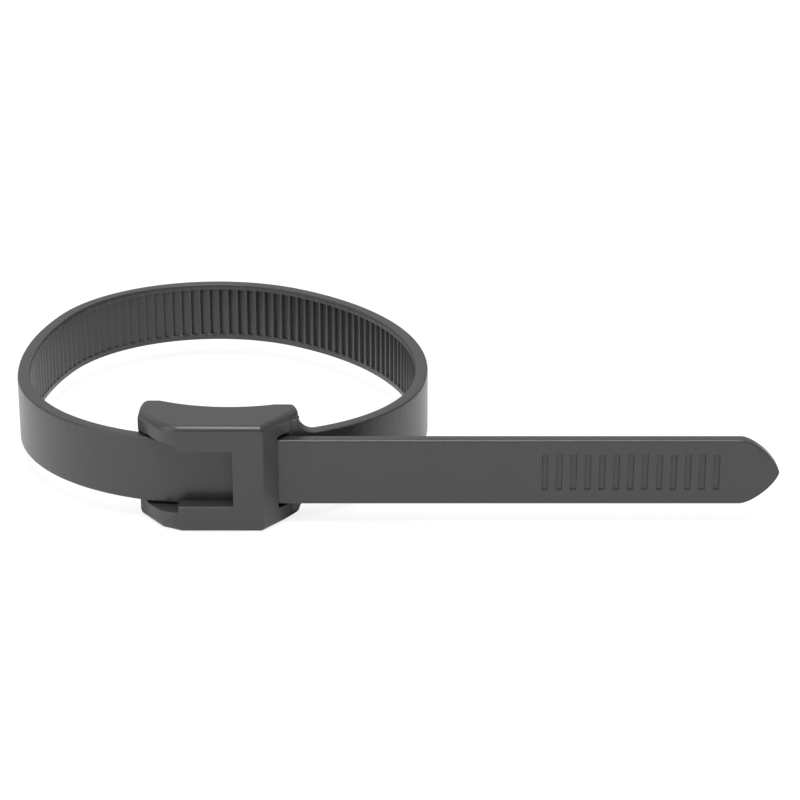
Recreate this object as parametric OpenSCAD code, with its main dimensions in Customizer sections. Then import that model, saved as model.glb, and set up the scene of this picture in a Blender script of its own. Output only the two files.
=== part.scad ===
// One-piece cable tie, closed into a loop, free end pushed once through its own head.
// Z = 0 is the middle of the strap's width. The origin is the axis of the back of the loop.
// The head is drawn in its own plan: X along the free end, Y towards the bundle,
// Y = 0 on the outer face of the free end, X = 0 in the middle of the front block.

/* [Strap] */
// Width of the strap
strap_w = 9; // [7:0.1:11]
// Thickness of the strap
strap_t = 1.74; // [1.5:0.02:2.1]
// Chamfer of the strap's outer edges
edge_outer = 0.28; // [0.1:0.02:0.4]
// Chamfer of the strap's inner edges
edge_inner = 0.2; // [0.1:0.02:0.3]
// Length of the free end from the front block's middle to the tip
tail_len = 72.7; // [60:0.1:110]
// Length over which the tip narrows
tip_len = 4.9; // [3:0.1:8]
// Fullness of the tip's outline, 1 is a straight point and 2 an ellipse
tip_full = 1.45; // [1.2:0.05:2]

/* [Loop] */
// Radius of the bundle that seats in the back of the loop
seat_r = 22.1; // [19:0.1:34]
// Heading at which the right front bend ends, counted from the head
turn_right = 82; // [79:1:86]
// Heading at which the slack right side ends
turn_back = 148; // [145:1:151]
// Heading at which the back bend ends
turn_left = 250; // [247:1:254]
// Heading at which the slack left side ends
turn_front = 278; // [275:1:282]
// Slack right side's radius as a multiple of the back bend's
slack_ratio = 1.73; // [1.6:0.01:1.9]
// Where the fixed end starts to bend, right of the block's middle
root_x = 3; // [2.5:0.1:3.6]
// Depth of the fixed end's outer face where it starts to bend
root_y = 1.4; // [1.2:0.05:1.5]
// Where the free end turns straight, left of the block's middle
straight_x = 2.25; // [2:0.05:2.8]

/* [Teeth] */
// Distance from tooth to tooth
tooth_pitch = 1.5; // [1.3:0.05:1.8]
// Depth of a tooth
tooth_d = 0.5; // [0.3:0.02:0.6]
// Flat left on top of a tooth
tooth_land = 0.3; // [0.2:0.02:0.4]
// Run of the steep side that locks
tooth_steep = 0.12; // [0.05:0.01:0.2]
// Plain border at each edge of the toothed face
border_w = 0.85; // [0.6:0.05:1.2]
// Plain strap after the head before the first tooth
teeth_after = 13; // [12.5:0.5:20]
// Plain strap between the last tooth and the tip
teeth_before_tip = 33; // [30:0.5:45]

/* [Finger grooves] */
// Number of finger grooves near the tip
grip_count = 13; // [6:1:15]
// Distance from groove to groove
grip_pitch = 1.87; // [1.6:0.01:2.1]
// Width of a groove
grip_w = 0.8; // [0.5:0.05:1]
// Length of a groove across the strap
grip_len = 5; // [3.5:0.1:5.5]
// Depth of a groove
grip_d = 0.25; // [0.15:0.01:0.35]
// Last groove to the tip
grip_end = 8.2; // [6:0.1:10]

/* [Head] */
// Length of the front block along the strap
block_len = 11.7; // [11:0.1:13]
// How far the block stands in front of the strap
block_front = 2.6; // [2:0.1:3.2]
// How far the head stands past each edge of the strap
side_bar = 2.92; // [2.4:0.02:3.4]
// Left end of the foot behind the strap
foot_left = 11.3; // [10.8:0.1:12]
// Right end of the foot behind the strap
foot_right = 9.7; // [9.4:0.1:10.2]
// Front of the foot at its ends
foot_front = 3.1; // [2.9:0.05:3.4]
// Where the flanks turn steeper, out from the block's end
flank_out = 2.4; // [2:0.1:2.6]
// Depth of the left flank there
flank_left = -1.3; // [-1.5:0.05:-0.5]
// Depth of the right flank there
flank_right = 1.2; // [0.6:0.05:1.6]
// Back of the left foot
foot_back_left = 7.3; // [6.4:0.05:7.6]
// Back of the right foot
foot_back_right = 5.65; // [5.4:0.05:6]
// Cut of the foot's corners seen from above
foot_cut = 1.5; // [1:0.1:1.8]
// Rounding along the flanks' upper and lower edges
flank_round = 1; // [0.6:0.05:1.4]
// Radius of the foot's corners seen from the front
foot_corner = 1.1; // [0.9:0.05:1.6]
// Rounding along the block's front edges
front_round = 0.8; // [0.4:0.05:1]
// Rounding along the foot's back edges
back_round = 0.45; // [0.2:0.05:0.6]
// Radius of the hollow that rests on the bundle
saddle_r = 19.1; // [17:0.1:26]
// Depth of that hollow's lowest line
saddle_y = 4.7; // [4.5:0.05:4.9]
// How far that line lies right of the block's middle
saddle_x = 0.6; // [0:0.1:1]
// Radius of the web from the foot into the fixed end
web_r = 2.3; // [1.8:0.1:2.6]

/* [Slot, window and locking tongue] */
// Play between strap and slot at the front and back
slot_play = 0.15; // [0.1:0.01:0.2]
// Play between the strap's edges and the slot
side_play = 0.2; // [0.15:0.01:0.4]
// Extra room at each side of the slot's mouths
mouth_play = 0.3; // [0.2:0.05:0.5]
// Lip in front of each strap edge at the window
lip = 0.7; // [0.4:0.05:0.9]
// Length of the bridge in front of the strap
bridge_len = 4.5; // [4:0.1:5.2]
// Length of the locking tongue's pocket
pocket_len = 9.4; // [9:0.1:9.8]
// Height of the pocket
pocket_h = 6.6; // [5.6:0.1:7]
// Gap round the tongue's sides
tongue_gap = 0.4; // [0.3:0.05:0.6]
// Number of teeth on the tongue
tongue_teeth = 3; // [2:1:3]
// Distance between the tongue's teeth and the strap's
bite_gap = 0.11; // [0.08:0.01:0.14]

/* [Hidden] */
$fn = 128;

half_w = strap_w / 2;
half_head = half_w + side_bar;
block_r = block_len / 2;
inner_y = strap_t + slot_play;

// the loop in plan: five bends that follow each other without a kink
bend_r1 = seat_r + strap_t;
bend_r2 = bend_r1 * slack_ratio;
bend_r3 = seat_r + strap_t;
turns = [0, turn_right, turn_back, turn_left, turn_front, 360];
centre1 = [root_x, root_y + bend_r1];
centre2 = centre1 + (bend_r1 - bend_r2) * out_dir(turns[1]);
centre3 = centre2 + (bend_r2 - bend_r3) * out_dir(turns[2]);
// the last two radii close the loop on the line of the free end
m11 = sin(turns[4]) - sin(turns[3]);
m12 = -sin(turns[4]);
m21 = cos(turns[3]) - cos(turns[4]);
m22 = cos(turns[4]) - 1;
rhs1 = -straight_x - centre3[0] - bend_r3 * sin(turns[3]);
rhs2 = bend_r3 * cos(turns[3]) - centre3[1];
det = m11 * m22 - m12 * m21;
bend_r4 = (rhs1 * m22 - m12 * rhs2) / det;
bend_r5 = (m11 * rhs2 - m21 * rhs1) / det;
centre4 = centre3 + (bend_r3 - bend_r4) * out_dir(turns[3]);
centre5 = [-straight_x, bend_r5];
bends = [bend_r1, bend_r2, bend_r3, bend_r4, bend_r5];
centres = [centre1, centre2, centre3, centre4, centre5];

// direction from a bend's centre to the strap, for a heading
function out_dir(h) = [sin(h), -cos(h)];
// length of the strap's middle layer up to the start of bend i
function run_to(i) = i == 0 ? 0 : run_to(i - 1)
  + (bends[i - 1] - strap_t / 2) * (turns[i] - turns[i - 1]) * PI / 180;
loop_run = run_to(5);
// bend that holds a point of the strap
function bend_at(s, i = 0) = i == 4 || s < run_to(i + 1) ? i : bend_at(s, i + 1);
function heading_at(s, i) = turns[i] + (s - run_to(i)) / (bends[i] - strap_t / 2) * 180 / PI;
// point at length s along the strap and depth d under its outer face
function spot(s, d) = s >= loop_run
  ? [s - loop_run - straight_x, d]
  : let (i = bend_at(s)) centres[i] + (bends[i] - d) * out_dir(heading_at(s, i));

// teeth: the grid is set so that the tongue's last tooth falls in a groove
tongue_tip = pocket_len / 2 - 1.3;
tooth_at_tongue = loop_run + straight_x + tongue_tip - 0.4;
tooth_first = tooth_at_tongue
  - floor((tooth_at_tongue - teeth_after) / tooth_pitch) * tooth_pitch;
tooth_last = loop_run + straight_x + tail_len - teeth_before_tip;
tooth_count = floor((tooth_last - tooth_first) / tooth_pitch);
crest_y = strap_t - 0.04;
groove_y = strap_t - tooth_d;

// one tooth, as length along the strap and depth: groove, steep side, flat top
function tooth_points(s) = [
  [s, groove_y],
  [s + tooth_steep, crest_y],
  [s + tooth_steep + tooth_land, crest_y]
];

// cross-section of the strap, outer face at "face", depth counted along "side";
// "skin" takes a hair off all round, so that neighbouring bends can overlap cleanly
module strap_section(face, side, skin = 0) {
  top = half_w - skin;
  near = face + side * skin;
  deep = face + side * (strap_t - skin);
  polygon([
    [near, top - edge_outer],
    [near + side * edge_outer, top],
    [deep - side * edge_inner, top],
    [deep, top - edge_inner],
    [deep, edge_inner - top],
    [deep - side * edge_inner, -top],
    [near + side * edge_outer, -top],
    [near, edge_outer - top]
  ]);
}

// stretch of bend i between two headings
module bend(i, from, to, skin = 0) {
  translate(centres[i])
    rotate([0, 0, from - 90])
      rotate_extrude(angle = to - from)
        strap_section(bends[i], -1, skin);
}

// turns an outline drawn in Y and Z into a bar along X
module bar_along_x(x0, x1) {
  translate([x0, 0, 0])
    rotate([90, 0, 90])
      linear_extrude(x1 - x0)
        children();
}

// turns an outline drawn in X and Z into a bar along Y
module bar_along_y(y0, y1) {
  translate([0, y1, 0])
    rotate([90, 0, 0])
      linear_extrude(y1 - y0)
        children();
}

// width left at a share u of the tip's length
function tip_half(u) = half_w * pow(1 - pow(u, tip_full), 1 / tip_full);
tip_steps = 14;

module free_end() {
  tip_x = tail_len - tip_len;
  intersection() {
    bar_along_x(-straight_x - 0.1, tail_len)
      strap_section(0, 1, hair);
    bar_along_y(-1, strap_t + 1)
      polygon([
        [-straight_x - 1, -half_w - 1],
        [-straight_x - 1, half_w + 1],
        [tip_x, half_w + 1],
        each [for (k = [0:tip_steps]) let (u = sin(90 * k / tip_steps))
          [tip_x + tip_len * u, k == tip_steps ? 0 : tip_half(u)]],
        each [for (k = [1:tip_steps]) let (u = cos(90 * k / tip_steps))
          [tip_x + tip_len * u, -tip_half(u)]],
        [tip_x, -half_w - 1]
      ]);
  }
}

// everything between the teeth, as one long comb
module tooth_spaces() {
  clear = strap_t + 0.6;
  s_end = tooth_first + tooth_count * tooth_pitch;
  profile = [for (k = [0:tooth_count - 1]) each tooth_points(tooth_first + k * tooth_pitch)];
  back_line = [for (k = [0:tooth_count]) s_end - k * tooth_pitch];
  translate([0, 0, border_w - half_w])
    linear_extrude(strap_w - 2 * border_w)
      polygon([
        each [for (p = profile) spot(p[0], p[1])],
        spot(s_end, groove_y),
        spot(s_end + tooth_steep, clear),
        each [for (s = back_line) spot(s, clear)]
      ]);
}

module finger_grooves() {
  for (k = [0:grip_count - 1])
    translate([tail_len - grip_end - k * grip_pitch - grip_w / 2, -1, -grip_len / 2])
      cube([grip_w, 1 + grip_d, grip_len]);
}

// heading at which the head's own stretch of strap hands over to the loop
root_turn = 20;
// overlap of neighbouring bends as an angle, and the hair between their surfaces
lap = 0.2;
hair = 0.006;

module strap() {
  difference() {
    union() {
      bend(0, root_turn, turns[1]);
      bend(1, turns[1] - lap, turns[2] + lap, hair);
      bend(2, turns[2], turns[3]);
      bend(3, turns[3] - lap, turns[4] + lap, hair);
      bend(4, turns[4], turns[5]);
      free_end();
    }
    tooth_spaces();
    finger_grooves();
  }
}

// three points of a flank from above, left for side -1 and right for side 1
function flank_start(side) = [side * block_r, -block_front];
function flank_knee(side) = [side * (block_r + flank_out), side < 0 ? flank_left : flank_right];
function flank_foot(side) = [side < 0 ? -foot_left : foot_right, foot_front];

// outline of the head's back from above; the flanks and the block's front are cut by the bars below
module head_plan() {
  ahead = -block_front - 1;
  polygon([
    [-foot_left, ahead],
    [-foot_left, foot_back_left - foot_cut],
    [foot_cut / 3 - foot_left, foot_back_left - foot_cut / 3],
    [foot_cut - foot_left, foot_back_left],
    [2 * foot_cut - foot_left, foot_back_left],
    [foot_right - 2 * foot_cut, foot_back_right],
    [foot_right - foot_cut / 2, foot_back_right],
    [foot_right, foot_back_right - foot_cut / 2],
    [foot_right, ahead]
  ]);
}

// box outline with round corners: two opposite corners and their radius
module round_box(x0, y0, x1, y1, r) {
  translate([x0 + r, y0])
    square([x1 - x0 - 2 * r, y1 - y0]);
  translate([x0, y0 + r])
    square([x1 - x0, y1 - y0 - 2 * r]);
  for (x = [x0 + r, x1 - r])
    for (y = [y0 + r, y1 - r])
      translate([x, y])
        circle(r);
}

// outline of the head from its end: round front edges, finer back edges
module head_side() {
  split = foot_front;
  tall = 2 * half_head + 2;
  difference() {
    round_box(-block_front, -half_head, split + 2 * front_round, half_head, front_round);
    translate([split, -tall / 2])
      square([3 * front_round, tall]);
  }
  difference() {
    round_box(split - 3 * back_round, -half_head, foot_back_left + 0.01, half_head, back_round);
    translate([split - 4 * back_round, -tall / 2])
      square([4 * back_round, tall]);
  }
}

// web that narrows from the foot to the fixed end: its hollow runs on from the foot's corner
module root_web() {
  corner_z = half_head - foot_corner;
  hollow_z = half_w + web_r - 0.05;
  reach = foot_corner + web_r;
  web_x = foot_right - foot_corner + sqrt(reach * reach - pow(hollow_z - corner_z, 2));
  web_top = corner_z + (hollow_z - corner_z) * foot_corner / reach - 0.02;
  web_in = foot_right - foot_corner - 1;
  intersection() {
    translate(centres[0])
      rotate([0, 0, -87])
        rotate_extrude(angle = 50)
          translate([bends[0] - strap_t + 2 * hair, -half_head])
            square([strap_t - 4 * hair, 2 * half_head]);
    bar_along_y(-2, foot_back_left + 6)
      difference() {
        translate([web_in, -web_top])
          square([web_x - web_in, 2 * web_top]);
        for (z = [-1, 1])
          translate([web_x, z * hollow_z])
            circle(web_r);
      }
  }
}

// bar with round long edges whose outer face runs through two points, seen from above;
// "over" holds its flat faces a little clear of the head's own
module flank_bar(a, b, over) {
  reach = 4 * half_head;
  run = b - a;
  translate([a[0], a[1], 0])
    rotate([0, 0, atan2(run[1], run[0])])
      bar_along_x(-reach, reach)
        round_box(-reach, -half_head - over, 0, half_head + over, flank_round);
}

module head_solid() {
  intersection() {
    flank_bar(flank_start(-1), flank_knee(-1), hair);
    flank_bar(flank_knee(-1), flank_foot(-1), 2 * hair);
    flank_bar(flank_knee(1), flank_start(1), hair);
    flank_bar(flank_foot(1), flank_knee(1), 2 * hair);
    translate([0, 0, -half_head - 1])
      linear_extrude(2 * half_head + 2)
        head_plan();
    bar_along_y(-block_front - 1, foot_back_left + 1)
      round_box(-foot_left, -half_head, foot_right, half_head, foot_corner);
    bar_along_x(-foot_left - 1, foot_right + 1)
      head_side();
  }
}

// room for the strap through the head, open at both ends
module slot() {
  slot_h = half_w + side_play;
  mouth_h = slot_h + mouth_play;
  mouth_run = foot_left - block_r + 0.5;
  mouth_wall = inner_y - 0.3;
  slot_front = hair - slot_play;
  slot_back = inner_y - hair;
  translate([-straight_x - 0.4, slot_front, -slot_h])
    cube([straight_x + foot_right + 1.4, slot_back - slot_front, 2 * slot_h]);
  translate(centres[4])
    rotate([0, 0, 270 - 28])
      rotate_extrude(angle = 28)
        translate([bends[4] - strap_t - slot_play, -slot_h])
          square([strap_t + 2 * slot_play, 2 * slot_h]);
  // left mouth: open to the front up to the block's end face, its back wall shallow
  bar_along_y(-block_front - 1, mouth_wall)
    polygon([
      [-block_r - mouth_run, mouth_h],
      [-block_r, slot_h + hair],
      [-block_r, -slot_h - hair],
      [-block_r - mouth_run, -mouth_h]
    ]);
  // right mouth
  bar_along_y(slot_front, slot_back)
    polygon([
      [block_r - 0.6, slot_h],
      [block_r + 0.6, mouth_h],
      [foot_right + 1, mouth_h],
      [foot_right + 1, -mouth_h],
      [block_r + 0.6, -mouth_h],
      [block_r - 0.6, -slot_h]
    ]);
}

module window() {
  translate([-block_r - 1, -block_front - 1, lip - half_w])
    cube([block_len + 1 - bridge_len, block_front + 1 + strap_t / 2, strap_w - 2 * lip]);
}

module saddle() {
  translate([saddle_x, saddle_y + saddle_r, -half_head - 1])
    cylinder(r = saddle_r, h = 2 * half_head + 2);
}

module pocket() {
  translate([-pocket_len / 2, groove_y, -pocket_h / 2])
    cube([pocket_len, foot_back_left, pocket_h]);
}

// locking tongue: springs from the pocket's left end, teeth face the strap
module tongue() {
  root = -pocket_len / 2 - 0.8;
  front = strap_t + 0.45;
  back = saddle_y - 0.9;
  first = tongue_tip - 0.4 - (tongue_teeth - 1) * tooth_pitch;
  translate([0, 0, tongue_gap - pocket_h / 2])
    linear_extrude(pocket_h - 2 * tongue_gap)
      polygon([
        [root, front + 0.1],
        [first - tooth_pitch, front],
        each [for (k = [0:tongue_teeth - 1]) each [
          [first + k * tooth_pitch - bite_gap / 2 - tooth_pitch + tooth_steep + tooth_land,
            crest_y + bite_gap],
          [first + k * tooth_pitch - bite_gap / 2, groove_y + bite_gap],
          [first + k * tooth_pitch - bite_gap / 2 + tooth_steep, crest_y + bite_gap]
        ]],
        [tongue_tip, front],
        [tongue_tip + 0.1, front + 0.6],
        [tongue_tip - 0.3, back],
        [first - 0.4, back],
        [-pocket_len / 2 + 0.8, front + 1.0],
        [root, front + 1.1]
      ]);
}

module head() {
  difference() {
    union() {
      head_solid();
      root_web();
      bend(0, 3, root_turn + 2 * lap, hair);
    }
    slot();
    window();
    saddle();
    pocket();
  }
  tongue();
}

module cable_tie() {
  color([0.16, 0.16, 0.17])
    translate([-centre3[0], -centre3[1], 0])
      union() {
        head();
        strap();
      }
}

cable_tie();
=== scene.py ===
"""A black nylon cable tie, closed into a loop, lying on a white studio table."""
import math

import bmesh
import bpy
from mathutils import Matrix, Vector
from mathutils.bvhtree import BVHTree


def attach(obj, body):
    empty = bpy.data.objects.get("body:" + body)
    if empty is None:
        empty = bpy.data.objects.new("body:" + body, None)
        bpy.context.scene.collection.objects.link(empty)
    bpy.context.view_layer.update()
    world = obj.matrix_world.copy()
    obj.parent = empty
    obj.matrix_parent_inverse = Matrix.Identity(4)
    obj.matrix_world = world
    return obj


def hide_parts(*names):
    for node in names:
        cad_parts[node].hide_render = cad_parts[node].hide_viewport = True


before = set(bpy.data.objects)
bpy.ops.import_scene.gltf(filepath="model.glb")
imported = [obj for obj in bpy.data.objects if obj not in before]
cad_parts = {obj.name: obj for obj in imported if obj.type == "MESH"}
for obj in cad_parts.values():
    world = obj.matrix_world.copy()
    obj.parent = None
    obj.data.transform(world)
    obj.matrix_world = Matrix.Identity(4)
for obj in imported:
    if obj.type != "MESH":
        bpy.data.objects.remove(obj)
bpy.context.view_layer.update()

MM = 0.001

# Sizes of the moulding in millimetres, angles in degrees
STRAP_W = 9.0
STRAP_T = 1.74
EDGE_OUTER = 0.28
EDGE_INNER = 0.2
TAIL_LEN = 72.7
TIP_LEN = 4.9
TIP_FULL = 1.45
SEAT_R = 22.1
SLACK_RATIO = 1.73
TURNS = (0, 82, 148, 250, 278, 360)
ROOT_X = 3.0
ROOT_Y = 1.4
STRAIGHT_X = 2.25
TOOTH_PITCH = 1.5
TOOTH_D = 0.5
CREST_STEP = 0.04
TOOTH_LAND = 0.3
TOOTH_STEEP = 0.12
BORDER_W = 0.85
TEETH_AFTER = 13
TEETH_BEFORE_TIP = 33
GRIP_COUNT = 13
GRIP_PITCH = 1.87
GRIP_W = 0.8
GRIP_LEN = 5
GRIP_D = 0.25
GRIP_END = 8.2
GRIP_DRAFT = 0.06
BLOCK_LEN = 11.7
BLOCK_FRONT = 2.6
SIDE_BAR = 2.92
FOOT_LEFT = 11.3
FOOT_RIGHT = 9.7
FOOT_FRONT = 3.1
FOOT_BACK_LEFT = 7.3
FOOT_BACK_RIGHT = 5.65
FOOT_CUT = 1.5
FLANK_OUT = 2.4
FLANK_LEFT = -1.3
FLANK_RIGHT = 1.2
FLANK_ROUND = 1.0
FOOT_CORNER = 1.1
FRONT_ROUND = 0.8
BACK_ROUND = 0.45
SADDLE_R = 19.1
SADDLE_X = 0.6
SADDLE_Y = 4.7
WEB_R = 2.3
SLOT_PLAY = 0.15
SIDE_PLAY = 0.2
MOUTH_PLAY = 0.3
MOUTH_RAMP = 0.6
MOUTH_INSET = 0.004
MOUTH_ON = 0.5
MOUTH_DROP = 0.3
SLOT_TURN = 28
SLOT_LAP = 0.02
LIP = 0.7
BRIDGE_LEN = 4.5
POCKET_LEN = 9.4
POCKET_H = 6.6
TONGUE_GAP = 0.4
TONGUE_TEETH = 3
BITE_GAP = 0.11
TONGUE_SHORT = 1.3
TONGUE_NOSE = 0.4
TONGUE_LIFT = 0.45
TONGUE_ROOT = 0.8
TONGUE_CLEAR = 0.9
LEAF_T = 1.0
LEAF_TAPER = 0.1
NOSE_DEEP = 0.6
NOSE_LEAN = 0.3
ROOT_FROM = 4
ROOT_TURN = 20
ROOT_LAP = 0.5
WEB_FROM = 3
WEB_TO = 53
WEB_SKIN = 0.01
WEB_LAP = 0.05
WEB_DROP = 0.02
WEB_REACH = (-2, 12)
HEAD_EDGE = 0.13
ROUNDED_FROM = 32
CREASED_FROM = 28

# Fineness of the mesh: distances in millimetres, and steps on a round
STATION_STEP = 0.9
SAME_STATION = 0.0015
STEEP_EASE = 0.03
LAND_EASE = 0.05
RAMP_EASE = 0.08
BORDER_EASE = 0.05
BORDER_SHARE = 0.1
SAME_RUN = 0.001
EDGE_STEPS = 4
TIP_STEPS = 20
TIP_POINT = 0.012
CORNER_STEPS = 8
SADDLE_STEPS = 160
WEB_STEPS = 12
PLATE_STEPS = 60
BEND_STEPS = 28
ROOT_STEPS = 24
ROUNDING_STEPS = 3

# Cleaning of the cut head: millimetres, an angle in degrees, and a multiple of the rounding's width
SAME_POINT = 0.004
SLIVER = 0.01
FLAT_WITHIN = 0.6
OVERSHOOT = 1.5

# Cutters reach past what they cut, and stay a hair or a touch off each other's faces
PAST = 1
HAIR = 0.006
TOUCH = 0.01
FAR_ROUND = 0.1

HALF_W = STRAP_W / 2
HALF_HEAD = HALF_W + SIDE_BAR
BLOCK_R = BLOCK_LEN / 2
INNER_Y = STRAP_T + SLOT_PLAY
CREST_Y = STRAP_T - CREST_STEP
GROOVE_Y = STRAP_T - TOOTH_D


# The loop in plan


def out_dir(heading):
    """Direction out of a bend at a heading, which is 0 at the front and grows to the right."""
    a = math.radians(heading)
    return Vector((math.sin(a), -math.cos(a)))


def loop_bends():
    """Radii and centres of the five bends, the last two closing the loop on the line of the free end."""
    r1 = r3 = SEAT_R + STRAP_T
    r2 = r1 * SLACK_RATIO
    c1 = Vector((ROOT_X, ROOT_Y + r1))
    c2 = c1 + (r1 - r2) * out_dir(TURNS[1])
    c3 = c2 + (r2 - r3) * out_dir(TURNS[2])
    left, front = math.radians(TURNS[3]), math.radians(TURNS[4])
    m11, m12 = math.sin(front) - math.sin(left), -math.sin(front)
    m21, m22 = math.cos(left) - math.cos(front), math.cos(front) - 1
    b1 = -STRAIGHT_X - c3.x - r3 * math.sin(left)
    b2 = r3 * math.cos(left) - c3.y
    det = m11 * m22 - m12 * m21
    r4 = (b1 * m22 - m12 * b2) / det
    r5 = (m11 * b2 - m21 * b1) / det
    c4 = c3 + (r3 - r4) * out_dir(TURNS[3])
    c5 = Vector((-STRAIGHT_X, r5))
    return [r1, r2, r3, r4, r5], [c1, c2, c3, c4, c5]


RADII, CENTRES = loop_bends()
RUN_TO = [0.0]
for bend in range(5):
    turned = math.radians(TURNS[bend + 1] - TURNS[bend])
    RUN_TO.append(RUN_TO[-1] + (RADII[bend] - STRAP_T / 2) * turned)
LOOP_RUN = RUN_TO[5]
HEAD_AT = Vector((-CENTRES[2].x, -CENTRES[2].y, 0))


def outward_at(run):
    """Direction out of the loop at a length along the strap."""
    if run >= LOOP_RUN:
        return Vector((0, -1))
    bend = max(i for i in range(5) if RUN_TO[i] <= run)
    turned = (run - RUN_TO[bend]) / (RADII[bend] - STRAP_T / 2)
    return out_dir(TURNS[bend] + math.degrees(turned))


def spot(run, depth):
    """Point at a length along the strap and a depth under its outer face, in the head's own plan."""
    if run >= LOOP_RUN:
        return Vector((run - LOOP_RUN - STRAIGHT_X, depth))
    bend = max(i for i in range(5) if RUN_TO[i] <= run)
    return CENTRES[bend] + (RADII[bend] - depth) * outward_at(run)


TONGUE_TIP = POCKET_LEN / 2 - TONGUE_SHORT
TOOTH_AT_TONGUE = LOOP_RUN + STRAIGHT_X + TONGUE_TIP - TONGUE_NOSE
TEETH_IN_LOOP = math.floor((TOOTH_AT_TONGUE - TEETH_AFTER) / TOOTH_PITCH)
TOOTH_FIRST = TOOTH_AT_TONGUE - TEETH_IN_LOOP * TOOTH_PITCH
TOOTH_LAST = LOOP_RUN + STRAIGHT_X + TAIL_LEN - TEETH_BEFORE_TIP
TOOTH_COUNT = math.floor((TOOTH_LAST - TOOTH_FIRST) / TOOTH_PITCH)
TEETH_END = TOOTH_FIRST + TOOTH_COUNT * TOOTH_PITCH
TIP_RUN = LOOP_RUN + STRAIGHT_X + TAIL_LEN
GRIP_FIRST = TIP_RUN - GRIP_END - (GRIP_COUNT - 1) * GRIP_PITCH


# Small tools


def link(obj):
    bpy.context.scene.collection.objects.link(obj)
    return obj


def set_sockets(node, **values):
    for name, value in values.items():
        node.inputs[name.replace("_", " ")].default_value = value


class Wiring:
    """Adds nodes to a tree and joins them, so that a rule reads as a formula."""

    def __init__(self, tree):
        self.tree = tree

    def node(self, kind, **settings):
        made = self.tree.nodes.new(kind)
        for name, value in settings.items():
            setattr(made, name, value)
        return made

    def feed(self, socket, value):
        if isinstance(value, bpy.types.NodeSocket):
            self.tree.links.new(value, socket)
        else:
            socket.default_value = value

    def math(self, operation, *values):
        made = self.node("ShaderNodeMath", operation=operation)
        for socket, value in zip(made.inputs, values):
            self.feed(socket, value)
        return made.outputs[0]

    def vector(self, operation, *values):
        made = self.node("ShaderNodeVectorMath", operation=operation)
        for socket, value in zip(made.inputs, values):
            self.feed(socket, value)
        return made.outputs["Value" if operation == "DOT_PRODUCT" else "Vector"]

    def scaled(self, vector, factor):
        made = self.node("ShaderNodeVectorMath", operation="SCALE")
        self.feed(made.inputs[0], vector)
        self.feed(made.inputs["Scale"], factor)
        return made.outputs[0]

    def attribute(self, name, data_type="FLOAT"):
        made = self.node("GeometryNodeInputNamedAttribute", data_type=data_type)
        made.inputs["Name"].default_value = name
        return made.outputs["Attribute"]


def plain_mesh(obj, name):
    """The evaluated shape as a mesh of its own; obj and its modifiers are taken away."""
    graph = bpy.context.evaluated_depsgraph_get()
    mesh = bpy.data.meshes.new_from_object(obj.evaluated_get(graph))
    mesh.name = name
    old = obj.data
    bpy.data.objects.remove(obj)
    if old.users == 0 and isinstance(old, bpy.types.Mesh):
        bpy.data.meshes.remove(old)
    return mesh


# The strap


def section_points():
    """Outline of the strap's section: depth, height, share of a tooth's cut, share of a groove's cut."""
    grip = GRIP_LEN / 2
    border = HALF_W - BORDER_W
    quarter = [math.radians(90 * k / EDGE_STEPS) for k in range(EDGE_STEPS + 1)]
    half = [(0, grip - GRIP_DRAFT, 0, 1), (0, grip, 0, 0)]
    for a in quarter:
        depth = EDGE_OUTER * (1 - math.cos(a))
        half.append((depth, HALF_W - EDGE_OUTER * (1 - math.sin(a)), 0, 0))
    for a in quarter:
        depth = STRAP_T - EDGE_INNER * (1 - math.sin(a))
        half.append((depth, HALF_W - EDGE_INNER * (1 - math.cos(a)), 0, 0))
    half.append((STRAP_T, border + BORDER_EASE, 0, 0))
    half.append((STRAP_T, border, BORDER_SHARE, 0))
    half.append((STRAP_T, border - BORDER_EASE, 1, 0))
    half.append((STRAP_T, border / 2, 1, 0))
    other = [(depth, -height, tooth, groove) for depth, height, tooth, groove in reversed(half)]
    return half + other


def tip_half(u):
    """Share of the width left at a share u of the tip's length."""
    return max(0.0, 1 - u**TIP_FULL) ** (1 / TIP_FULL)


def strap_stations():
    """Lengths along the strap at which its section is set down, with the share of its width left there."""
    start = math.radians(ROOT_TURN - 1) * (RADII[0] - STRAP_T / 2)
    tip_from = TIP_RUN - TIP_LEN
    runs = {round(start, 4)}
    run = start
    while run < tip_from:
        runs.add(round(run, 4))
        run += STATION_STEP
    steep_end = TOOTH_STEEP
    land_end = TOOTH_STEEP + TOOTH_LAND
    marks = (0, steep_end - STEEP_EASE, steep_end + STEEP_EASE, land_end - LAND_EASE, land_end + RAMP_EASE)
    for k in range(TOOTH_COUNT):
        at = TOOTH_FIRST + k * TOOTH_PITCH
        runs.update(round(at + mark, 4) for mark in marks)
    runs.add(round(TOOTH_FIRST - 2 * SAME_RUN, 4))
    runs.add(round(TEETH_END, 4))
    runs.add(round(TEETH_END + TOOTH_STEEP, 4))
    for k in range(GRIP_COUNT):
        at = GRIP_FIRST + k * GRIP_PITCH
        for side in (-1, 1):
            runs.update(round(at + side * (GRIP_W / 2 + e), 4) for e in (-GRIP_DRAFT, 0))
    runs = sorted(runs)
    kept = [runs[0]]
    for run in runs[1:]:
        if run - kept[-1] > SAME_STATION:
            kept.append(run)
    widths = [(run, 1.0) for run in kept if run < tip_from]
    for k in range(TIP_STEPS + 1):
        u = math.sin(math.radians(90 * k / TIP_STEPS))
        widths.append((tip_from + TIP_LEN * u, max(tip_half(u), TIP_POINT)))
    return widths


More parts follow.
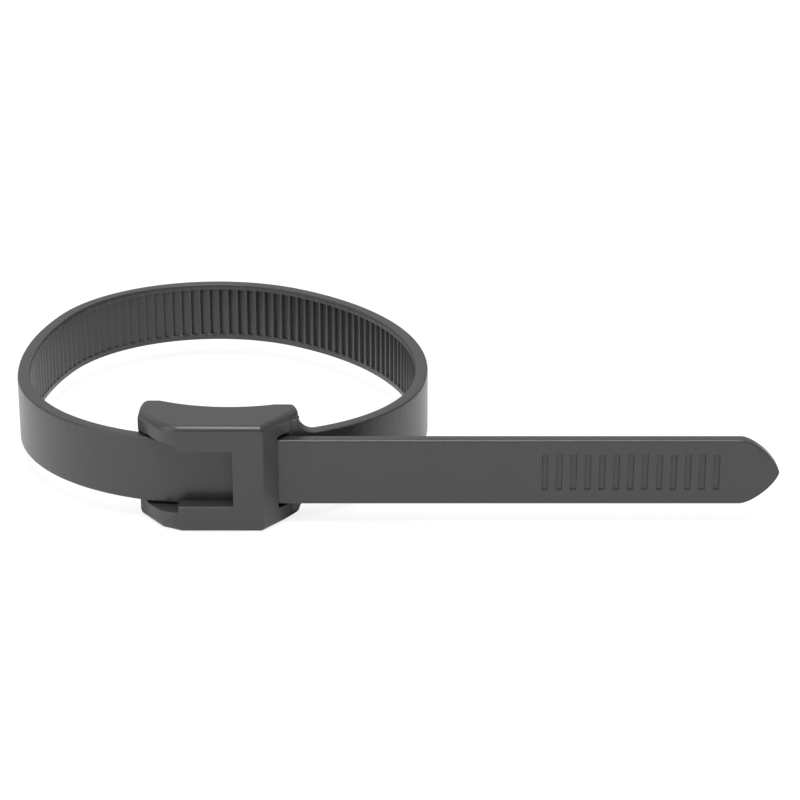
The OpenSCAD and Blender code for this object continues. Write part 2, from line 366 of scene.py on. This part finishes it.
def strap_path():
    """The strap's middle layer as a line of points that know their length, outward side and width."""
    stations = strap_stations()
    mesh = bpy.data.meshes.new("strap_path")
    points = []
    for run, _ in stations:
        at = spot(run, STRAP_T / 2)
        points.append((Vector((at.x, at.y, 0)) + HEAD_AT) * MM)
    mesh.from_pydata(points, [(i, i + 1) for i in range(len(points) - 1)], [])
    outward = []
    for run, _ in stations:
        side = outward_at(run)
        outward += [side.x, side.y, 0]
    for name, kind, field, values in (
        ("run", "FLOAT", "value", [run for run, _ in stations]),
        ("slim", "FLOAT", "value", [width for _, width in stations]),
        ("outward", "FLOAT_VECTOR", "vector", outward),
        ("middle", "FLOAT_VECTOR", "vector", [c for p in points for c in p]),
    ):
        mesh.attributes.new(name, kind, "POINT").data.foreach_set(field, values)
    return link(bpy.data.objects.new("strap_path", mesh))


def strap_section():
    """The section's outline as a ring of points that know their depth, height and shares."""
    points = section_points()
    count = len(points)
    places = [((STRAP_T / 2 - depth) * MM, -height * MM, 0) for depth, height, _, _ in points]
    mesh = bpy.data.meshes.new("strap_section")
    mesh.from_pydata(places, [(i, (i + 1) % count) for i in range(count)], [])
    for k, name in enumerate(("depth", "height", "tooth_share", "groove_share")):
        mesh.attributes.new(name, "FLOAT", "POINT").data.foreach_set("value", [p[k] for p in points])
    return link(bpy.data.objects.new("strap_section", mesh))


STRAP_SIZES = {
    "Thickness": STRAP_T,
    "Tooth pitch": TOOTH_PITCH,
    "Tooth depth": TOOTH_D,
    "Crest step": CREST_STEP,
    "Steep run": TOOTH_STEEP,
    "Land": TOOTH_LAND,
    "First tooth": TOOTH_FIRST,
    "Teeth end": TEETH_END,
    "Groove pitch": GRIP_PITCH,
    "Groove depth": GRIP_D,
    "Groove width": GRIP_W,
    "Groove draft": GRIP_DRAFT,
    "First groove": GRIP_FIRST,
    "Last groove": GRIP_FIRST + (GRIP_COUNT - 1) * GRIP_PITCH,
}


def tooth_cut(w, given, run):
    """Depth of the teeth's cut: a steep side, a flat crest and a long ramp back to the groove."""
    along = w.math("FLOORED_MODULO", w.math("SUBTRACT", run, given["First tooth"]), given["Tooth pitch"])
    steep = w.math("SUBTRACT", 1.0, w.math("DIVIDE", along, given["Steep run"]))
    ramp_from = w.math("ADD", given["Steep run"], given["Land"])
    ramp_len = w.math("SUBTRACT", given["Tooth pitch"], ramp_from)
    ramp = w.math("DIVIDE", w.math("SUBTRACT", along, ramp_from), ramp_len)
    fall = w.math("MINIMUM", w.math("MAXIMUM", w.math("MAXIMUM", steep, ramp), 0.0), 1.0)
    after_first = w.math("GREATER_THAN", run, w.math("SUBTRACT", given["First tooth"], SAME_RUN))
    before_end = w.math("LESS_THAN", run, w.math("ADD", given["Teeth end"], SAME_RUN))
    toothed = w.math("MULTIPLY", after_first, before_end)
    deep = w.math("SUBTRACT", given["Tooth depth"], given["Crest step"])
    return w.math("MULTIPLY", toothed, w.math("ADD", given["Crest step"], w.math("MULTIPLY", fall, deep)))


def groove_cut(w, given, run):
    """Depth of the finger grooves: a flat floor, and walls with a little draft."""
    half_pitch = w.math("MULTIPLY", given["Groove pitch"], 0.5)
    from_first = w.math("ADD", w.math("SUBTRACT", run, given["First groove"]), half_pitch)
    in_pitch = w.math("FLOORED_MODULO", from_first, given["Groove pitch"])
    off_centre = w.math("ABSOLUTE", w.math("SUBTRACT", in_pitch, half_pitch))
    edge = w.math("SUBTRACT", w.math("MULTIPLY", given["Groove width"], 0.5), off_centre)
    wall = w.math("MINIMUM", w.math("MAXIMUM", w.math("DIVIDE", edge, given["Groove draft"]), 0.0), 1.0)
    first_side = w.math("SUBTRACT", given["First groove"], given["Groove width"])
    last_side = w.math("ADD", given["Last groove"], given["Groove width"])
    after_first = w.math("GREATER_THAN", run, first_side)
    before_last = w.math("LESS_THAN", run, last_side)
    grooved = w.math("MULTIPLY", after_first, before_last)
    return w.math("MULTIPLY", grooved, w.math("MULTIPLY", wall, given["Groove depth"]))


def strap_tree(material):
    """Sweeps the section along the path and cuts teeth and finger grooves by length along the strap."""
    tree = bpy.data.node_groups.new("moulded_strap", "GeometryNodeTree")
    face = tree.interface
    face.new_socket("Geometry", in_out="OUTPUT", socket_type="NodeSocketGeometry")
    face.new_socket("Geometry", in_out="INPUT", socket_type="NodeSocketGeometry")
    face.new_socket("Section", in_out="INPUT", socket_type="NodeSocketObject")
    for name in STRAP_SIZES:
        face.new_socket(name, in_out="INPUT", socket_type="NodeSocketFloat")
    w = Wiring(tree)
    given = w.node("NodeGroupInput").outputs
    path = w.node("GeometryNodeMeshToCurve")
    w.feed(path.inputs["Mesh"], given["Geometry"])
    shown = w.node("GeometryNodeObjectInfo")
    w.feed(shown.inputs["Object"], given["Section"])
    section = w.node("GeometryNodeMeshToCurve")
    w.feed(section.inputs["Mesh"], shown.outputs["Geometry"])
    sweep = w.node("GeometryNodeCurveToMesh")
    w.feed(sweep.inputs["Curve"], path.outputs["Curve"])
    w.feed(sweep.inputs["Profile Curve"], section.outputs["Curve"])
    w.feed(sweep.inputs["Fill Caps"], True)

    run = w.attribute("run")
    tooth = w.math("MULTIPLY", w.attribute("tooth_share"), tooth_cut(w, given, run))
    groove = w.math("MULTIPLY", w.attribute("groove_share"), groove_cut(w, given, run))
    depth = w.math("ADD", w.math("SUBTRACT", w.attribute("depth"), tooth), groove)
    from_middle = w.math("SUBTRACT", w.math("MULTIPLY", given["Thickness"], 0.5), depth)
    outward = w.attribute("outward", "FLOAT_VECTOR")
    sideways = w.scaled(outward, w.math("MULTIPLY", from_middle, MM))
    rise = w.math("MULTIPLY", w.attribute("height"), w.attribute("slim"))
    lift = w.node("ShaderNodeCombineXYZ")
    w.feed(lift.inputs["Z"], w.math("MULTIPLY", rise, MM))
    middle = w.attribute("middle", "FLOAT_VECTOR")
    place = w.vector("ADD", w.vector("ADD", middle, sideways), lift.outputs[0])
    put = w.node("GeometryNodeSetPosition")
    w.feed(put.inputs["Geometry"], sweep.outputs["Mesh"])
    w.feed(put.inputs["Position"], place)
    real = w.node("GeometryNodeRealizeInstances")
    w.feed(real.inputs["Geometry"], put.outputs["Geometry"])
    paint = w.node("GeometryNodeSetMaterial")
    w.feed(paint.inputs["Geometry"], real.outputs["Geometry"])
    w.feed(paint.inputs["Material"], material)
    w.feed(w.node("NodeGroupOutput").inputs["Geometry"], paint.outputs["Geometry"])
    return tree


def moulded_strap(material):
    """The whole strap from the head's root to the tip, as a plain mesh."""
    section = strap_section()
    path = strap_path()
    tree = strap_tree(material)
    sweep = path.modifiers.new("moulded_strap", "NODES")
    sweep.node_group = tree
    values = dict(STRAP_SIZES, Section=section)
    for item in tree.interface.items_tree:
        if item.in_out == "INPUT" and item.name in values:
            sweep[item.identifier] = values[item.name]
    mesh = plain_mesh(path, "strap")
    bpy.data.objects.remove(section)
    for name in ("run", "slim", "outward", "middle", "depth", "height", "tooth_share", "groove_share"):
        if name in mesh.attributes:
            mesh.attributes.remove(mesh.attributes[name])
    return mesh


# The head


def arc(cx, cy, r, a0, a1, steps):
    """Points round a centre between two angles."""
    turns = (math.radians(a0 + (a1 - a0) * k / steps) for k in range(steps + 1))
    return [(cx + r * math.cos(a), cy + r * math.sin(a)) for a in turns]


def round_box(x0, y0, x1, y1, r_low, r_high, steps=CORNER_STEPS):
    """Box outline; r_low rounds the corners at x0 and r_high those at x1."""
    return (
        arc(x0 + r_low, y0 + r_low, r_low, 180, 270, steps)
        + arc(x1 - r_high, y0 + r_high, r_high, 270, 360, steps)
        + arc(x1 - r_high, y1 - r_high, r_high, 0, 90, steps)
        + arc(x0 + r_low, y1 - r_low, r_low, 90, 180, steps)
    )


def solid(name, rings):
    """Closed solid through a row of equal rings of points, with a flat end at each side."""
    made = bmesh.new()
    loops = [[made.verts.new((Vector(p) + HEAD_AT) * MM) for p in ring] for ring in rings]
    count = len(loops[0])
    made.faces.new(loops[0])
    made.faces.new(loops[-1])
    for a, b in zip(loops, loops[1:]):
        for i in range(count):
            j = (i + 1) % count
            made.faces.new((a[i], a[j], b[j], b[i]))
    bmesh.ops.recalc_face_normals(made, faces=made.faces)
    mesh = bpy.data.meshes.new(name)
    made.to_mesh(mesh)
    made.free()
    return link(bpy.data.objects.new(name, mesh))


def bar_up(name, outline, z0, z1):
    """Upright bar on an outline seen from above; the next two take one seen from the front or the end."""
    return solid(name, [[(x, y, z) for x, y in outline] for z in (z0, z1)])


def bar_along_y(name, outline, y0, y1):
    return solid(name, [[(x, y, z) for x, z in outline] for y in (y0, y1)])


def bar_along_x(name, outline, x0, x1):
    return solid(name, [[(x, y, z) for y, z in outline] for x in (x0, x1)])


def box(name, low, high):
    outline = [(low[0], low[1]), (high[0], low[1]), (high[0], high[1]), (low[0], high[1])]
    return bar_up(name, outline, low[2], high[2])


def bent_bar(name, bend, outline, h0, h1, steps):
    """Outline in depth and height, swept round a bend's centre between two headings."""
    rings = []
    for k in range(steps + 1):
        side = out_dir(h0 + (h1 - h0) * k / steps)
        rings.append([(*(CENTRES[bend] + (RADII[bend] - d) * side), z) for d, z in outline])
    return solid(name, rings)


def combine(base, tool, operation):
    """Exact union, difference or intersection; both objects are used up and a new one is given back."""
    step = base.modifiers.new("step", "BOOLEAN")
    step.operation = operation
    step.solver = "EXACT"
    step.object = tool
    mesh = plain_mesh(base, base.name)
    bpy.data.meshes.remove(tool.data)
    return link(bpy.data.objects.new(mesh.name, mesh))


def head_plan():
    """The head's back from above; its front and flanks are cut by the bars that follow."""
    ahead = -BLOCK_FRONT - PAST
    return [
        (-FOOT_LEFT, ahead),
        (-FOOT_LEFT, FOOT_BACK_LEFT - FOOT_CUT),
        (FOOT_CUT / 3 - FOOT_LEFT, FOOT_BACK_LEFT - FOOT_CUT / 3),
        (FOOT_CUT - FOOT_LEFT, FOOT_BACK_LEFT),
        (2 * FOOT_CUT - FOOT_LEFT, FOOT_BACK_LEFT),
        (FOOT_RIGHT - 2 * FOOT_CUT, FOOT_BACK_RIGHT),
        (FOOT_RIGHT - FOOT_CUT / 2, FOOT_BACK_RIGHT),
        (FOOT_RIGHT, FOOT_BACK_RIGHT - FOOT_CUT / 2),
        (FOOT_RIGHT, ahead),
    ]


def flank_points(side):
    """Block end, knee and foot of the left (-1) or right (1) flank, seen from above."""
    knee = FLANK_LEFT if side < 0 else FLANK_RIGHT
    foot = -FOOT_LEFT if side < 0 else FOOT_RIGHT
    return (
        Vector((side * BLOCK_R, -BLOCK_FRONT)),
        Vector((side * (BLOCK_R + FLANK_OUT), knee)),
        Vector((foot, FOOT_FRONT)),
    )


def flank_bar(a, b, over):
    """Bar with round long edges whose outer face runs through two points; the head lies on its right."""
    reach = 4 * HALF_HEAD
    along = (b - a).normalized()
    inside = Vector((along.y, -along.x))
    outline = round_box(0, -HALF_HEAD - over, reach, HALF_HEAD + over, FLANK_ROUND, FAR_ROUND)
    rings = []
    for end in (-reach, reach):
        rings.append([(*(a + along * end + inside * d), z) for d, z in outline])
    return solid("flank", rings)


def root_web():
    """Plate that narrows from the foot's corner to the strap's width in a hollow curve."""
    corner_z = HALF_HEAD - FOOT_CORNER
    hollow_z = HALF_W + WEB_R - WEB_LAP
    reach = FOOT_CORNER + WEB_R
    web_x = FOOT_RIGHT - FOOT_CORNER + math.sqrt(reach**2 - (hollow_z - corner_z) ** 2)
    top = corner_z + (hollow_z - corner_z) * FOOT_CORNER / reach - WEB_DROP
    start = math.degrees(math.acos((hollow_z - top) / WEB_R))
    upper = arc(web_x, hollow_z, WEB_R, 270, 270 - start, WEB_STEPS)
    inner = FOOT_RIGHT - FOOT_CORNER - PAST
    outline = upper + [(inner, top), (inner, -top)] + [(x, -z) for x, z in reversed(upper)]
    skin = STRAP_T - WEB_SKIN
    rect = [(WEB_SKIN, -HALF_HEAD), (skin, -HALF_HEAD), (skin, HALF_HEAD), (WEB_SKIN, HALF_HEAD)]
    plate = bent_bar("web", 0, rect, WEB_FROM, WEB_TO, PLATE_STEPS)
    return combine(plate, bar_along_y("web_outline", outline, *WEB_REACH), "INTERSECT")


def tongue_outline():
    """The locking tongue from above: a leaf rooted at the pocket's left end, toothed towards its tip."""
    root = -POCKET_LEN / 2 - TONGUE_ROOT
    front = STRAP_T + TONGUE_LIFT
    back = SADDLE_Y - TONGUE_CLEAR
    first = TONGUE_TIP - TONGUE_NOSE - (TONGUE_TEETH - 1) * TOOTH_PITCH
    points = [(root, front + LEAF_TAPER), (first - TOOTH_PITCH, front)]
    for k in range(TONGUE_TEETH):
        at = first + k * TOOTH_PITCH - BITE_GAP / 2
        points.append((at - TOOTH_PITCH + TOOTH_STEEP + TOOTH_LAND, CREST_Y + BITE_GAP))
        points.append((at, GROOVE_Y + BITE_GAP))
        points.append((at + TOOTH_STEEP, CREST_Y + BITE_GAP))
    return points + [
        (TONGUE_TIP, front),
        (TONGUE_TIP + LEAF_TAPER, front + NOSE_DEEP),
        (TONGUE_TIP - NOSE_LEAN, back),
        (first - TONGUE_NOSE, back),
        (-POCKET_LEN / 2 + TONGUE_ROOT, front + LEAF_T),
        (root, front + LEAF_T + LEAF_TAPER),
    ]


def head_block():
    """The head's outer form: its back, cut by the four flank bars and by its front and end views."""
    tall = HALF_HEAD + PAST
    head = bar_up("head", head_plan(), -tall, tall)
    for side in (-1, 1):
        block, knee, foot = flank_points(side)
        for a, b, over in ((block, knee, HAIR), (knee, foot, 2 * HAIR)):
            bar = flank_bar(a, b, over) if side < 0 else flank_bar(b, a, over)
            head = combine(head, bar, "INTERSECT")
    front_view = round_box(-FOOT_LEFT, -HALF_HEAD, FOOT_RIGHT, HALF_HEAD, FOOT_CORNER, FOOT_CORNER)
    bar = bar_along_y("front_view", front_view, -BLOCK_FRONT - PAST, FOOT_BACK_LEFT + PAST)
    head = combine(head, bar, "INTERSECT")
    back = FOOT_BACK_LEFT + TOUCH
    end_view = round_box(-BLOCK_FRONT, -HALF_HEAD, back, HALF_HEAD, FRONT_ROUND, BACK_ROUND)
    bar = bar_along_x("end_view", end_view, -FOOT_LEFT - PAST, FOOT_RIGHT + PAST)
    return combine(head, bar, "INTERSECT")


def slot_cutters():
    """The strap's way through the head: straight slot, bend and the two widened mouths."""
    slot_h = HALF_W + SIDE_PLAY
    mouth_h = slot_h + MOUTH_PLAY
    straight = [(-SLOT_PLAY, -slot_h), (INNER_Y, -slot_h), (INNER_Y, slot_h), (-SLOT_PLAY, slot_h)]
    left_end = -FOOT_LEFT - MOUTH_ON
    left = [
        (left_end, mouth_h),
        (-BLOCK_R, slot_h + HAIR),
        (-BLOCK_R, -slot_h - HAIR),
        (left_end, -mouth_h),
    ]
    right = [
        (BLOCK_R - MOUTH_RAMP, slot_h - TOUCH),
        (BLOCK_R + MOUTH_RAMP, mouth_h),
        (FOOT_RIGHT + PAST, mouth_h),
        (FOOT_RIGHT + PAST, -mouth_h),
        (BLOCK_R + MOUTH_RAMP, -mouth_h),
        (BLOCK_R - MOUTH_RAMP, -slot_h + TOUCH),
    ]
    return [
        bar_along_x("slot", straight, -STRAIGHT_X, FOOT_RIGHT + PAST),
        bent_bar("slot_bend", 4, straight, 360 - SLOT_TURN, 360 + SLOT_LAP, BEND_STEPS),
        bar_along_y("left_mouth", left, -BLOCK_FRONT - PAST, INNER_Y - MOUTH_DROP),
        bar_along_y("right_mouth", right, -SLOT_PLAY + MOUTH_INSET, INNER_Y - MOUTH_INSET),
    ]


def front_and_back_cutters():
    """Window in the front, saddle for the bundle at the back, and the tongue's pocket in the saddle."""
    tall = HALF_HEAD + PAST
    window_low = (-BLOCK_R - PAST, -BLOCK_FRONT - PAST, LIP - HALF_W)
    window_high = (BLOCK_R - BRIDGE_LEN, STRAP_T / 2, HALF_W - LIP)
    saddle = arc(SADDLE_X, SADDLE_Y + SADDLE_R, SADDLE_R, 180, 360, SADDLE_STEPS)
    pocket_low = (-POCKET_LEN / 2, GROOVE_Y, -POCKET_H / 2)
    pocket_high = (POCKET_LEN / 2, FOOT_BACK_LEFT + PAST, POCKET_H / 2)
    return [
        box("window", window_low, window_high),
        bar_up("saddle", saddle, -tall, tall),
        box("pocket", pocket_low, pocket_high),
    ]


def moulded_head(material):
    """The head with the strap's root, its slot, window, saddle and pocket, and the locking tongue."""
    head = combine(head_block(), root_web(), "UNION")
    plain = [(depth, height) for depth, height, _, _ in section_points()]
    root = bent_bar("root", 0, plain, ROOT_FROM, ROOT_TURN + ROOT_LAP, ROOT_STEPS)
    head = combine(head, root, "UNION")
    for cut in slot_cutters() + front_and_back_cutters():
        head = combine(head, cut, "DIFFERENCE")
    half_tongue = POCKET_H / 2 - TONGUE_GAP
    head = combine(head, bar_up("tongue", tongue_outline(), -half_tongue, half_tongue), "UNION")
    mesh = head.data
    bpy.data.objects.remove(head)
    mesh.materials.clear()
    mesh.materials.append(material)
    return mesh


def tidy_edges(mesh, width):
    """Merges doubles, drops needless edges on flat faces and rounds the sharp edges."""
    made = bmesh.new()
    made.from_mesh(mesh)
    bmesh.ops.remove_doubles(made, verts=made.verts, dist=SAME_POINT * MM)
    flat = math.radians(FLAT_WITHIN)
    bmesh.ops.dissolve_limit(made, angle_limit=flat, verts=made.verts, edges=made.edges)
    bmesh.ops.dissolve_degenerate(made, dist=SLIVER * MM, edges=made.edges)
    bmesh.ops.recalc_face_normals(made, faces=made.faces)
    form = BVHTree.FromBMesh(made)
    made.to_mesh(mesh)
    made.free()
    obj = link(bpy.data.objects.new("edges", mesh))
    rounding = obj.modifiers.new("edges", "BEVEL")
    rounding.width = width * MM
    rounding.segments = ROUNDING_STEPS
    rounding.limit_method = "ANGLE"
    rounding.angle_limit = math.radians(ROUNDED_FROM)
    rounding.use_clamp_overlap = False
    rounding.miter_outer = "MITER_ARC"
    rounding.loop_slide = False
    rounded = plain_mesh(obj, "head")
    # At the thin wedges of the left mouth the rounding runs past the form, so it is drawn back
    for point in rounded.vertices:
        near, _, _, gap = form.find_nearest(point.co)
        if gap > OVERSHOOT * width * MM:
            point.co = near
    return rounded


def one_piece(name, meshes, material):
    """Head and strap as the one moulding that they are."""
    made = bmesh.new()
    for mesh in meshes:
        made.from_mesh(mesh)
    joined = bpy.data.meshes.new(name)
    made.to_mesh(joined)
    made.free()
    joined.materials.append(material)
    joined.polygons.foreach_set("use_smooth", [True] * len(joined.polygons))
    joined.polygons.foreach_set("material_index", [0] * len(joined.polygons))
    joined.set_sharp_from_angle(angle=math.radians(CREASED_FROM))
    # The large faces keep their own shading and the narrow roundings take up the turn
    shaded = link(bpy.data.objects.new("shaded", joined))
    even = shaded.modifiers.new("even_shading", "WEIGHTED_NORMAL")
    even.keep_sharp = True
    return link(bpy.data.objects.new(name, plain_mesh(shaded, name)))


# Finish of the plastic


NYLON_DARK = (0.030, 0.030, 0.0315, 1)
NYLON_PALE = (0.039, 0.039, 0.0405, 1)
ROUGH = 0.28
ROUGH_CLOUD = 0.08
ROUGH_GRAIN = 0.05


def empty_material(name):
    material = bpy.data.materials.new(name)
    material.use_nodes = True
    material.node_tree.nodes.clear()
    return material, Wiring(material.node_tree)


def black_nylon():
    """Moulded black nylon: faint cloudiness from the melt, a fine grain and slightly uneven gloss."""
    material, w = empty_material("black_nylon")
    place = w.node("ShaderNodeTexCoord").outputs["Object"]
    cloud = w.node("ShaderNodeTexNoise")
    w.feed(cloud.inputs["Vector"], place)
    set_sockets(cloud, Scale=140.0, Detail=3.0, Roughness=0.55)
    grain = w.node("ShaderNodeTexNoise")
    w.feed(grain.inputs["Vector"], place)
    set_sockets(grain, Scale=2600.0, Detail=2.0, Roughness=0.5)
    shader = w.node("ShaderNodeBsdfPrincipled")
    set_sockets(shader, IOR=1.53)
    tint = w.node("ShaderNodeMix", data_type="RGBA")
    w.feed(tint.inputs["Factor"], cloud.outputs[0])
    w.feed(tint.inputs["A"], NYLON_DARK)
    w.feed(tint.inputs["B"], NYLON_PALE)
    w.feed(shader.inputs["Base Color"], tint.outputs["Result"])
    cloudy = w.math("MULTIPLY", cloud.outputs[0], ROUGH_CLOUD)
    grainy = w.math("MULTIPLY", grain.outputs[0], ROUGH_GRAIN)
    rough = w.math("ADD", w.math("ADD", cloudy, grainy), ROUGH)
    w.feed(shader.inputs["Roughness"], rough)
    bump = w.node("ShaderNodeBump")
    set_sockets(bump, Strength=0.25, Distance=0.00002)
    w.feed(bump.inputs["Height"], grain.outputs[0])
    w.feed(shader.inputs["Normal"], bump.outputs["Normal"])
    w.feed(w.node("ShaderNodeOutputMaterial").inputs["Surface"], shader.outputs["BSDF"])
    return material


# Table, light and camera


TABLE_Z = -HALF_HEAD * MM
CAMERA_TILT = 21
CAMERA_AWAY = 320
CAMERA_AIM = Vector((23.108, 0.002, 10.15))
ROOM_SLOPE = (-0.14, 0.24, 0.48)
ROOM_LEVEL = 0.18
LAMPS_AIM = Vector((20, -20, 0))


def white_table():
    """A sheet of white paper under the tie, lit so brightly that only a trace of the shadow is seen."""
    bpy.ops.mesh.primitive_plane_add(size=4, location=(0, 0, TABLE_Z))
    table = bpy.context.object
    table.name = "table"
    material, w = empty_material("white_table")
    paper = w.node("ShaderNodeBsdfDiffuse")
    set_sockets(paper, Color=(0.9, 0.9, 0.9, 1))
    # The camera sees a darker paper that glows, and so an overexposed one with little shadow
    seen_paper = w.node("ShaderNodeBsdfDiffuse")
    set_sockets(seen_paper, Color=(0.22, 0.22, 0.22, 1))
    glow = w.node("ShaderNodeEmission")
    set_sockets(glow, Color=(1, 1, 1, 1), Strength=0.84)
    lit = w.node("ShaderNodeAddShader")
    w.feed(lit.inputs[0], seen_paper.outputs[0])
    w.feed(lit.inputs[1], glow.outputs[0])
    mix = w.node("ShaderNodeMixShader")
    w.feed(mix.inputs[0], w.node("ShaderNodeLightPath").outputs["Is Camera Ray"])
    w.feed(mix.inputs[1], paper.outputs[0])
    w.feed(mix.inputs[2], lit.outputs[0])
    w.feed(w.node("ShaderNodeOutputMaterial").inputs["Surface"], mix.outputs[0])
    table.data.materials.append(material)


def softbox(name, azimuth, elevation, distance, size, power):
    """Round soft lamp aimed at the tie; azimuth 0 is the camera's side and 90 the left."""
    a, e = math.radians(azimuth), math.radians(elevation)
    aim = LAMPS_AIM * MM
    back = Vector((-math.sin(a) * math.cos(e), -math.cos(a) * math.cos(e), math.sin(e)))
    data = bpy.data.lights.new(name, "AREA")
    data.shape = "DISK"
    data.size = size
    data.energy = power
    lamp = link(bpy.data.objects.new(name, data))
    lamp.location = aim + back * distance
    lamp.rotation_euler = back.to_track_quat("Z", "Y").to_euler()


def studio():
    """A white room for the soft light, with two soft lamps; the camera sees plain white."""
    world = bpy.data.worlds.new("studio")
    bpy.context.scene.world = world
    world.use_nodes = True
    world.node_tree.nodes.clear()
    w = Wiring(world.node_tree)
    soft = w.node("ShaderNodeBackground")
    set_sockets(soft, Color=(1, 1, 1, 1))
    # The room is brightest overhead, then behind the tie, and dimmer at the right than at the left
    looking = w.node("ShaderNodeTexCoord").outputs["Generated"]
    slope = w.vector("DOT_PRODUCT", looking, ROOM_SLOPE)
    w.feed(soft.inputs["Strength"], w.math("MAXIMUM", w.math("ADD", slope, ROOM_LEVEL), 0.0))
    seen = w.node("ShaderNodeBackground")
    set_sockets(seen, Color=(1, 1, 1, 1), Strength=1.0)
    mix = w.node("ShaderNodeMixShader")
    w.feed(mix.inputs[0], w.node("ShaderNodeLightPath").outputs["Is Camera Ray"])
    w.feed(mix.inputs[1], soft.outputs[0])
    w.feed(mix.inputs[2], seen.outputs[0])
    w.feed(w.node("ShaderNodeOutputWorld").inputs["Surface"], mix.outputs[0])
    softbox("overhead", azimuth=0, elevation=74, distance=0.8, size=0.6, power=6.6)
    softbox("left", azimuth=60, elevation=25, distance=0.8, size=0.5, power=1.4)


def camera():
    """The photograph's view, looking down by CAMERA_TILT at a point between the head and the tip."""
    data = bpy.data.cameras.new("camera")
    data.lens = 111.4
    data.sensor_width = 36
    data.clip_start = 0.01
    data.clip_end = 20
    eye = link(bpy.data.objects.new("camera", data))
    tilt = math.radians(CAMERA_TILT)
    back = Vector((0, -math.cos(tilt), math.sin(tilt)))
    eye.location = (CAMERA_AIM + HEAD_AT + CAMERA_AWAY * back) * MM
    eye.rotation_euler = (math.radians(90) - tilt, 0, 0)
    bpy.context.scene.camera = eye


bpy.context.scene.view_settings.view_transform = "Standard"
camera()
studio()
white_table()
nylon = black_nylon()
strap = moulded_strap(nylon)
head = tidy_edges(moulded_head(nylon), HEAD_EDGE)
tie = one_piece("cable_tie_moulding", [head, strap], nylon)
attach(tie, "root")
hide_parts("cable_tie")
